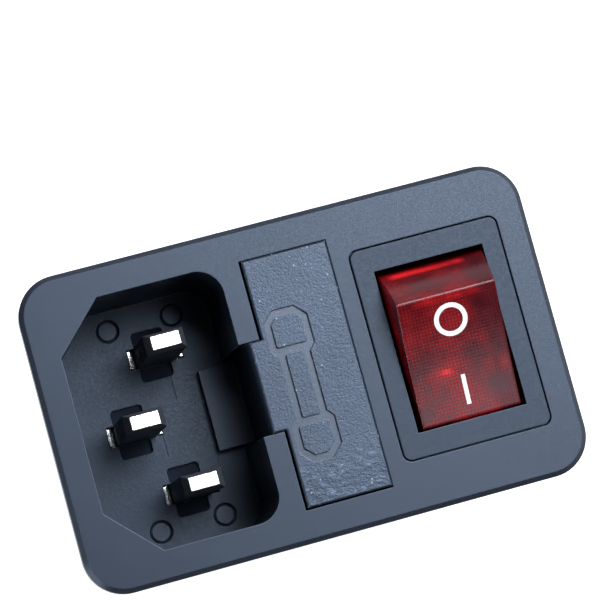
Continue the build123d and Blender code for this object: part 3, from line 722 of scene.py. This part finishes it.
# %% Clear glass with faint streaks
def glass(name, colour):
    """Thin clear glass that isn't quite clean."""
    material, tree, shader = new_finish(name, {"Transmission Weight": 1.0, "IOR": 1.47})
    streaks = noise(tree, place_in_mm(tree), size=2.0, detail=4.0, roughness=0.7)
    tint = blend(tree, streaks, colour, (0.98, 0.99, 0.98, 1))
    rough = spread(tree, streaks, 0.3, 0.8, 0.01, 0.12)
    feed(tree, shader, tint, rough, lift(tree, streaks, 0.01, soft_normal(tree, 0.05)))
    return material


fuse_glass_finish = glass("fuse glass", (0.90, 0.97, 0.94, 1))
lamp_glass_finish = glass("lamp glass", (0.97, 0.93, 0.88, 1))
print("glass:", fuse_glass_finish.name, lamp_glass_finish.name)

# %% [markdown]
# ## White print and lacquer
#
# The O and the I on the cap are pad printed in thick white ink, and the
# resistor under the cap wears a beige lacquer. Both are plain paints, but ink
# on a real cap has tiny pinholes and worn spots, so the tone and the gloss vary.

# %% A simple paint with small flaws
def paint(name, colour, worn_colour, roughness):
    """Paint or lacquer with faint blots and a slightly uneven surface."""
    material, tree, shader = new_finish(name)
    blots = noise(tree, place_in_mm(tree), size=0.5, detail=4.0, roughness=0.6)
    tone = blend(tree, spread(tree, blots, 0.5, 0.8), colour, worn_colour)
    rough = spread(tree, blots, 0.3, 0.7, roughness * 0.8, roughness * 1.3)
    feed(tree, shader, tone, rough, lift(tree, blots, 0.004, soft_normal(tree, 0.03)))
    return material


def beige_lacquer(name):
    """The lacquer of a resistor."""
    return paint(name, (0.62, 0.46, 0.28, 1), (0.5, 0.36, 0.2, 1), 0.3)


ink_finish = paint("white ink", (1.0, 0.94, 0.89, 1), (0.86, 0.79, 0.75, 1), 0.35)
lacquer_finish = beige_lacquer("beige lacquer")
print("paints:", ink_finish.name, lacquer_finish.name)

# %% [markdown]
# ## Finishes on the ready pieces
#
# Most pieces already have their true shape, so they only change their finish.
# A list of finishes with the pieces that wear them reads like the parts list of
# the real object. A piece that is forgotten stops the script at once, because
# its name has no finish.

# %% Give each piece its finish
finish_of = {
    "housing": housing_finish, "rear_cover": housing_finish, "fuse_drawer": drawer_finish,
    "switch_body": switch_finish, "rocker": red_finish, "neon_lamp": lamp_glass_finish,
    "lamp_resistor": lacquer_finish, "lamp_lead": nickel_finish,
}
for name in frame["nodes"]:
    if name.startswith(("contact_bridge", "plunger_1", "plunger_2")):
        finish_of[name] = brass_finish
    elif name.startswith("plunger_spring"):
        finish_of[name] = steel_finish
    elif name.endswith("_tube"):
        finish_of[name] = fuse_glass_finish
    elif name.endswith("_pin"):
        finish_of[name] = pin_finish
    elif name.endswith(("_caps", "_wire")) or "terminal" in name or "fuse_contact" in name:
        finish_of[name] = nickel_finish

for name, piece in frame["nodes"].items():
    piece.data.materials.clear()
    piece.data.materials.append(finish_of[name])
print("pieces with a finish:", len(finish_of), "of", len(frame["nodes"]))

# %% [markdown]
# ## The pale table
#
# A white table needs a lot of light to look white, and that much light would
# turn the black plastic grey as well. So the table shines a little by itself.
# It shines near the unit, where it is seen, and hardly at all further out,
# where it would light the unit from all round.

# %% The table's finish
glow_full, glow_gone = 60.0, 200.0


def pale_table(name):
    """A pale table top that shines by itself round its middle."""
    material, tree, shader = new_finish(name, {"Roughness": 0.9, "Emission Color": (1, 1, 1, 1)})
    place = place_in_mm(tree)
    clouds = noise(tree, place, size=40.0, detail=3.0)
    tone = blend(tree, clouds, (0.60, 0.60, 0.60, 1), (0.64, 0.64, 0.64, 1))
    away = node(tree, "VectorMath", {0: place}, operation="LENGTH").outputs["Value"]
    tree.links.new(tone, shader.inputs["Base Color"])
    tree.links.new(spread(tree, away, glow_full, glow_gone, 0.95, 0.10), shader.inputs["Emission Strength"])
    return material


floor.data.materials.append(pale_table("pale table"))
print("the table shines fully within mm:", glow_full)

# %% [markdown]
# ## The sign on the drawer
#
# The drawer's face carries the outline of a fuse, cut into it as one groove with
# a smooth floor: two caps joined by a narrower tube, with the inner fields left
# standing. Bump alone would look right only from the front, so the groove is
# really cut. A flat curve makes its own holes where one closed line lies inside
# another, so four lines, raised to a solid, give the cutter, and a boolean takes
# it out of a copy of the drawer.

# %% The lines of the sign
sign_centre_x = -0.42
sign_depth = 0.35
sign_low, sign_high = -8.13, 6.92
_, drawer_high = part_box("fuse_drawer")
drawer_face = drawer_high.z / MM
groove_floor = drawer_face - sign_depth


def mirrored(right_side):
    """Close a half outline by its mirror image about the sign's centre line."""
    left_side = [(-x, y) for x, y in reversed(right_side)]
    return [(sign_centre_x + x, y) for x, y in right_side + left_side]


def field(half_width, low, high, cut_low, cut_high):
    """An upright panel with cut corners."""
    return mirrored([
        (half_width - cut_low, low), (half_width, low + cut_low),
        (half_width, high - cut_high), (half_width - cut_high, high)])


fuse_outline = mirrored([
    (0.96, sign_low), (2.14, -6.93), (2.14, -4.25), (1.75, -3.78), (1.55, -3.6),
    (1.55, 2.35), (1.75, 2.52), (2.17, 3.0), (2.17, 5.8), (1.08, sign_high)])
fields = [
    field(1.5, 3.28, 6.13, 0.15, 0.55),
    field(0.88, -3.72, 2.47, 0.12, 0.12),
    field(1.49, -7.42, -4.47, 0.85, 0.15)]
print("lines of the sign:", 1 + len(fields), "length in mm:", round(sign_high - sign_low, 2))


# %% Meshes from lines and modifiers
cutter_reach = 0.2


def plain_mesh(carrier, name):
    """The mesh that an object shows once its modifiers are done."""
    bpy.context.view_layer.update()
    graph = bpy.context.evaluated_depsgraph_get()
    mesh = bpy.data.meshes.new_from_object(carrier.evaluated_get(graph), depsgraph=graph)
    mesh.name = name
    return mesh


def raised_lines(name, outlines, low, high):
    """A solid between two heights whose plan is a set of closed lines."""
    curve = bpy.data.curves.new(name, "CURVE")
    curve.dimensions = "2D"
    curve.fill_mode = "BOTH"
    curve.extrude = (high - low) / 2 * MM
    for outline in outlines:
        line = curve.splines.new("POLY")
        line.points.add(len(outline) - 1)
        for point, (x, y) in zip(line.points, outline):
            point.co = (x * MM, y * MM, 0, 1)
        line.use_cyclic_u = True
    solid = placed(name, curve)
    solid.location.z = (high + low) / 2 * MM
    return solid


def drop(*leftovers):
    """Take helper objects out of the scene."""
    for leftover in leftovers:
        bpy.data.objects.remove(leftover)


print("the cutters reach above the face by mm:", cutter_reach)

# %% Closed meshes with true edges
weld_distance = 0.0005 * MM


def weld(mesh):
    """Join points that lie in one place, so that a mesh is closed."""
    reshape(mesh, lambda shape: bmesh.ops.remove_doubles(shape, verts=shape.verts, dist=weld_distance))


def smooth_by_angle(piece, degrees=30):
    """Smooth the round stretches and keep the real edges sharp."""
    def shade(shape):
        for face in shape.faces:
            face.smooth = True
        for edge in shape.edges:
            edge.smooth = len(edge.link_faces) == 2 and edge.calc_face_angle() < math.radians(degrees)
    mesh = piece.data
    if "custom_normal" in mesh.attributes:
        mesh.attributes.remove(mesh.attributes["custom_normal"])
    weld(mesh)
    reshape(mesh, shade)


print("points are joined within mm:", weld_distance / MM)


# %% Cut lines into a copy of a piece
def cut_out(source, name, cutter):
    """A copy of a piece with a cutter taken out of it."""
    copy = source.copy()
    copy.data = source.data.copy()
    copy.name = name
    weld(copy.data)
    scene.collection.objects.link(copy)
    cut = copy.modifiers.new("cut", "BOOLEAN")
    cut.operation = "DIFFERENCE"
    cut.solver = "EXACT"
    cut.object = cutter
    mesh = plain_mesh(copy, name)
    drop(copy)
    return placed(name, mesh)


def engraved(source, name, outlines, low, high):
    """A copy of a piece with closed lines sunk into it between two heights."""
    lines = raised_lines(name + "_lines", outlines, low, high)
    mesh = plain_mesh(lines, name + "_cutter")
    weld(mesh)
    cutter = placed(name + "_cutter", mesh)
    cutter.location = lines.location
    made = cut_out(source, name, cutter)
    drop(lines, cutter)
    smooth_by_angle(made)
    return made


drawer_moulding = engraved(
    frame["nodes"]["fuse_drawer"], "drawer_moulding", [fuse_outline] + fields,
    groove_floor, drawer_face + cutter_reach)
print("faces of the drawer with its sign:", len(drawer_moulding.data.polygons))


# %% Dress the drawer
def dress(piece, finish, body, stands_for=()):
    """Give a new piece its finish, its body and what it stands for."""
    piece.data.materials.clear()
    piece.data.materials.append(finish)
    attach(piece, body)
    if stands_for:
        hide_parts(*stands_for)


def lies_at(polygon, height):
    """Whether a face looks up from a height in millimetres."""
    return abs(polygon.center.z / MM - height) < 0.02 and polygon.normal.z > 0.9


dress(drawer_moulding, drawer_finish, "drawer", ["fuse_drawer"])
drawer_moulding.data.materials.append(groove_finish)
groove_faces = [polygon for polygon in drawer_moulding.data.polygons if lies_at(polygon, groove_floor)]
for polygon in groove_faces:
    polygon.material_index = 1
print("faces on the floor of the groove:", len(groove_faces))

# %% [markdown]
# ## Marks of the mould in the well
#
# Pins in the mould push the finished housing out, and each leaves a round mark
# on the well's floor with a sharp rim. Two inserts of the mould left a thin
# line as well. They are shallow, but their dark rims catch the eye at once, so
# they are cut for real, in the same way as the sign.

# %% Round marks and thin lines on the floor of the well
well_floor = -15.0
mark_places = [(-15.72, 10.4), (-9.07, 10.4), (-15.72, -10.4), (-9.07, -10.4)]
mark_outer, mark_rim, mark_depth = 1.2, 0.3, 0.5
line_places = [(-10.8, 2.1, 4.3), (-13.1, -3.3, -0.8)]
line_width, line_depth = 0.14, 0.12


def circle_line(centre_x, centre_y, radius, count=48):
    """A closed round line of points."""
    turns = [2 * math.pi * step / count for step in range(count)]
    return [(centre_x + radius * math.cos(turn), centre_y + radius * math.sin(turn)) for turn in turns]


rims = []
for mark_x, mark_y in mark_places:
    rims.append(circle_line(mark_x, mark_y, mark_outer))
    rims.append(circle_line(mark_x, mark_y, mark_outer - mark_rim))
flow_lines = []
for line_x, line_low, line_high in line_places:
    left_side, right_side = line_x - line_width / 2, line_x + line_width / 2
    flow_lines.append([
        (left_side, line_low), (right_side, line_low), (right_side, line_high), (left_side, line_high)])
cut_top = well_floor + cutter_reach / 2
housing_marked = engraved(
    frame["nodes"]["housing"], "housing_marked", rims, well_floor - mark_depth, cut_top)
housing_moulding = engraved(
    housing_marked, "housing_moulding", flow_lines, well_floor - line_depth, cut_top)
drop(housing_marked)
print("faces of the housing with its marks:", len(housing_moulding.data.polygons))

# %% [markdown]
# ## Three blacks in one housing
#
# The housing is one moulding, but not one gloss. The floor of the well is a
# little coarser than the flange, and the recesses under it, round the roots of
# the pins, are dull. The mesh stays in one piece, and each face is told which
# of the three finishes it wears by where it lies.

# %% Dress the housing
well_left, well_right, well_half_length = -22, -5.5, 12.4
recess_bottom = -17.7

dress(housing_moulding, housing_finish, "panel_unit", ["housing"])
housing_moulding.data.materials.append(recess_finish)
housing_moulding.data.materials.append(well_floor_finish)
dull_faces = 0
for polygon in housing_moulding.data.polygons:
    middle = polygon.center / MM
    under_well = well_left < middle.x < well_right and abs(middle.y) < well_half_length
    if under_well and recess_bottom < middle.z < well_floor - 0.2:
        polygon.material_index = 1
        dull_faces += 1
    elif under_well and lies_at(polygon, well_floor):
        polygon.material_index = 2
print("dull faces under the floor of the well:", dull_faces)

# %% [markdown]
# ## The O and the I on the cap
#
# Both signs are printed on the hollow top of the cap, so they follow its curve.
# Each is a thin plate that is first laid out flat, in the cap's own directions,
# and then dropped point by point on the cap's real surface. It is a hair thick,
# because two surfaces in the same place would flicker.


# %% Lay a band on the top of the cap
def cap_point(across, along, height):
    """A place on the cap, from its pivot, in the cap's own directions."""
    return cap_pivot + (cap_across * across + cap_along * along + cap_up * height) * MM


rocker_mesh = frame["nodes"]["rocker"].data
rocker_tree = BVHTree.FromPolygons(
    [vertex.co for vertex in rocker_mesh.vertices],
    [list(polygon.vertices) for polygon in rocker_mesh.polygons])
above_cap = 12


def cap_height(across, along):
    """Height of the cap's top over its pivot, in millimetres."""
    start = cap_point(across, along, above_cap)
    hit = rocker_tree.ray_cast(start, -cap_up)[0]
    return (hit - cap_pivot).dot(cap_up) / MM


print_thickness = 0.03
print_sinks_by = 0.3


def printed_band(name, inner, outer, closed):
    """A thin printed band between two lines of points, laid on the cap."""
    def build(shape):
        rows = []
        for line, lift_by in ((inner, 0.0), (outer, 0.0), (outer, 1.0), (inner, 1.0)):
            row = []
            for across, along in line:
                height = cap_height(across, along) + print_thickness * (lift_by - print_sinks_by)
                row.append(shape.verts.new(cap_point(across, along, height)))
            rows.append(row)
        count = len(inner)
        for index in range(count if closed else count - 1):
            following = (index + 1) % count
            for first, second in zip(rows, rows[1:] + rows[:1]):
                shape.faces.new((first[index], first[following], second[following], second[index]))
        if not closed:
            shape.faces.new([row[0] for row in rows])
            shape.faces.new([row[-1] for row in reversed(rows)])
        bmesh.ops.recalc_face_normals(shape, faces=shape.faces)
    return new_object(name, build)


print("print stands proud by mm:", round(print_thickness * (1 - print_sinks_by), 3))

# %% The ring and the bar
ring_place, ring_outer, ring_stroke = 3.5, 1.65, 0.47
bar_low, bar_high, bar_width = -4.99, -2.04, 0.42
ring_points, bar_parts = 72, 24

bar_steps = [bar_low + (bar_high - bar_low) * step / bar_parts for step in range(bar_parts + 1)]
ring_inner = ring_outer - ring_stroke
mark_ring = printed_band(
    "mark_ring", circle_line(0, ring_place, ring_inner, ring_points),
    circle_line(0, ring_place, ring_outer, ring_points), True)
mark_bar = printed_band(
    "mark_bar", [(-bar_width / 2, along) for along in bar_steps],
    [(bar_width / 2, along) for along in bar_steps], False)
for mark in (mark_ring, mark_bar):
    smooth_by_angle(mark)
    dress(mark, ink_finish, "rocker_cap")
print("cap height under the ring in mm:", round(cap_height(0, ring_place), 2))

# %% [markdown]
# ## The lamp under the cap
#
# The little neon lamp is a glass tube with a rounded end, pinched at the other,
# and holds two short rods side by side. Each of these round pieces is a profile
# spun about the lamp's axis, which is how such things are blown or turned. The
# tube has an inside and an outside, so that light bends in it as in a real one.


# %% Spin a profile
def cap_extent(name):
    """Lowest and highest place of a piece in the cap's own directions, in mm."""
    points = [vertex.co - cap_pivot for vertex in frame["nodes"][name].data.vertices]
    return [(min(point.dot(axis) for point in points) / MM, max(point.dot(axis) for point in points) / MM)
            for axis in cap_axes]


def spun(name, profiles, across, height, count=40):
    """Profiles of (radius, along) spun about a line that runs along the cap."""
    def build(shape):
        for profile in profiles:
            rings = []
            for radius, along in profile:
                circle = circle_line(across, height, radius, count)
                rings.append([shape.verts.new(cap_point(x, along, z)) for x, z in circle])
            for first, second in zip(rings, rings[1:]):
                for step in range(count):
                    following = (step + 1) % count
                    shape.faces.new((first[step], first[following], second[following], second[step]))
            shape.faces.new(rings[0])
            shape.faces.new(rings[-1])
        bmesh.ops.recalc_face_normals(shape, faces=shape.faces)
    piece = new_object(name, build)
    smooth_by_angle(piece)
    return piece


def dome(radius, tip, length, steps=8):
    """Profile points of a round end, from its tip to the full radius."""
    turns = [math.pi / 2 * step / steps for step in range(steps + 1)]
    return [(max(0.04, radius * math.sin(turn)), tip + length * (1 - math.cos(turn))) for turn in turns]


lamp_across, lamp_along, lamp_up = cap_extent("neon_lamp")
print("lamp lies along the cap from mm to mm:", [round(place, 2) for place in lamp_along])

# %% The glass of the lamp
lamp_radius = (lamp_across[1] - lamp_across[0]) / 2
lamp_middle = (lamp_up[0] + lamp_up[1]) / 2
lamp_tip, lamp_end = lamp_along
hollow_radius = lamp_radius - 0.22
outside = dome(lamp_radius, lamp_tip, 1.1) + [
    (lamp_radius, lamp_end - 1.4), (0.8 * lamp_radius, lamp_end - 0.7), (0.45 * lamp_radius, lamp_end)]
inside = dome(hollow_radius, lamp_tip + 0.35, 0.9) + [
    (hollow_radius, lamp_end - 1.6), (0.5 * lamp_radius, lamp_end - 1.0)]
lamp_bulb = spun("lamp_bulb", [outside, inside], 0, lamp_middle)
dress(lamp_bulb, lamp_glass_finish, "rocker_cap", ["neon_lamp"])
print("lamp radius and length in mm:", round(lamp_radius, 2), round(lamp_end - lamp_tip, 2))

# %% The rods in the lamp
rod_radius = 0.2
rod_offset = 0.42
rod_profile = dome(rod_radius, lamp_tip + 1.6, 0.2, 4) + [(rod_radius, lamp_end - 1.1)]
for side, rod_across in (("left", -rod_offset), ("right", rod_offset)):
    rod = spun("lamp_rod_" + side, [rod_profile], rod_across, lamp_middle, 16)
    dress(rod, nickel_finish, "rocker_cap")
print("rods of radius", rod_radius, "mm,", 2 * rod_offset, "mm apart")

# %% [markdown]
# ## The lamp's resistor
#
# A resistor is a ceramic rod with a metal cap pressed on each end, dipped in
# lacquer, so that it swells at its ends. Four painted rings give its value. The
# rings could be pieces of their own, but paint has no thickness to speak of, so
# they are bands of colour, laid over the lacquer by their place along the rod.

# %% Lacquer with painted rings
ring_half, ring_first, ring_step = 0.14, 0.16, 0.17
ring_colours = [(0.16, 0.07, 0.03, 1), (0.02, 0.02, 0.02, 1), (0.6, 0.4, 0.02, 1), (0.55, 0.42, 0.12, 1)]


def banded_lacquer(name, low, high):
    """Beige lacquer with painted rings at even steps along the piece."""
    material = beige_lacquer(name)
    tree = material.node_tree
    shader = tree.nodes["Principled BSDF"]
    ground = fed_by(shader, "Base Color")
    along = cap_places(tree, cap_pivot)[1]
    for step, ring_colour in enumerate(ring_colours):
        middle = low + (high - low) * (ring_first + ring_step * step)
        away = reckon(tree, "ABSOLUTE", reckon(tree, "SUBTRACT", along, middle))
        ground = blend(tree, spread(tree, away, ring_half + 0.03, ring_half), ground, ring_colour)
    tree.links.new(ground, shader.inputs["Base Color"])
    return material


body_across, body_along, body_up = cap_extent("lamp_resistor")
body_low, body_high = body_along
ring_finish = banded_lacquer("banded lacquer", body_low, body_high)
print("rings on the resistor:", len(ring_colours))

# %% A rod with swollen ends
body_radius = (body_across[1] - body_across[0]) / 2
body_middle = (body_up[0] + body_up[1]) / 2
waist_radius = 0.78 * body_radius
end_length, waist_from = 0.75, 1.2
low_end = dome(body_radius, body_low, 0.45, 6) + [
    (body_radius, body_low + end_length), (waist_radius, body_low + waist_from)]
high_end = [(radius, body_low + body_high - along) for radius, along in reversed(low_end)]
resistor_body = spun("resistor_body", [low_end + high_end], 0, body_middle)
dress(resistor_body, ring_finish, "rocker_cap", ["lamp_resistor"])
print("resistor radius and length in mm:", round(body_radius, 2), round(body_high - body_low, 2))

# %% [markdown]
# ## The springs in the cap
#
# Each plunger stands on a small spring in its tube. A spring is a line that
# winds round an axis with a round wire drawn along it, so it is made as a curve
# with a bevel: the line is a formula, and the wire's thickness one number. The
# real spring shortens when its plunger is pushed in; here the curve is turned
# into a mesh that keeps its rest length.

# %% Wind a spring
spring_turns = 3
points_per_turn = 24
wire_radius = 0.075


def wound_wire(name, middle_across, radius, low, high):
    """A curve that winds up from low to high, with a round wire along it."""
    curve = bpy.data.curves.new(name, "CURVE")
    curve.dimensions = "3D"
    curve.bevel_depth = wire_radius * MM
    curve.bevel_resolution = 4
    curve.use_fill_caps = True
    wire = curve.splines.new("POLY")
    parts = spring_turns * points_per_turn
    wire.points.add(parts)
    for step, point in enumerate(wire.points):
        turn = 2 * math.pi * step / points_per_turn
        height = low + (high - low) * step / parts
        place = cap_point(middle_across + radius * math.cos(turn), radius * math.sin(turn), height)
        point.co = (*place, 1)
    return placed(name, curve)


print("points along a spring's wire:", spring_turns * points_per_turn + 1)

# %% Two springs in the cap
for pole in ("1", "2"):
    coil_across, _, coil_up = cap_extent("plunger_spring_" + pole)
    coil_x = (coil_across[0] + coil_across[1]) / 2
    coil_radius = (coil_across[1] - coil_across[0]) / 2 - wire_radius
    wire_low, wire_high = coil_up[0] + wire_radius, coil_up[1] - wire_radius
    wound = wound_wire("wound_" + pole, coil_x, coil_radius, wire_low, wire_high)
    coil_name = "plunger_coil_" + pole
    plunger_coil = placed(coil_name, plain_mesh(wound, coil_name))
    drop(wound)
    smooth_by_angle(plunger_coil, 60)
    dress(plunger_coil, steel_finish, "rocker_cap", ["plunger_spring_" + pole])
    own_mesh(plunger_coil)
    print("radius of spring", pole, "in mm:", round(coil_radius, 2))
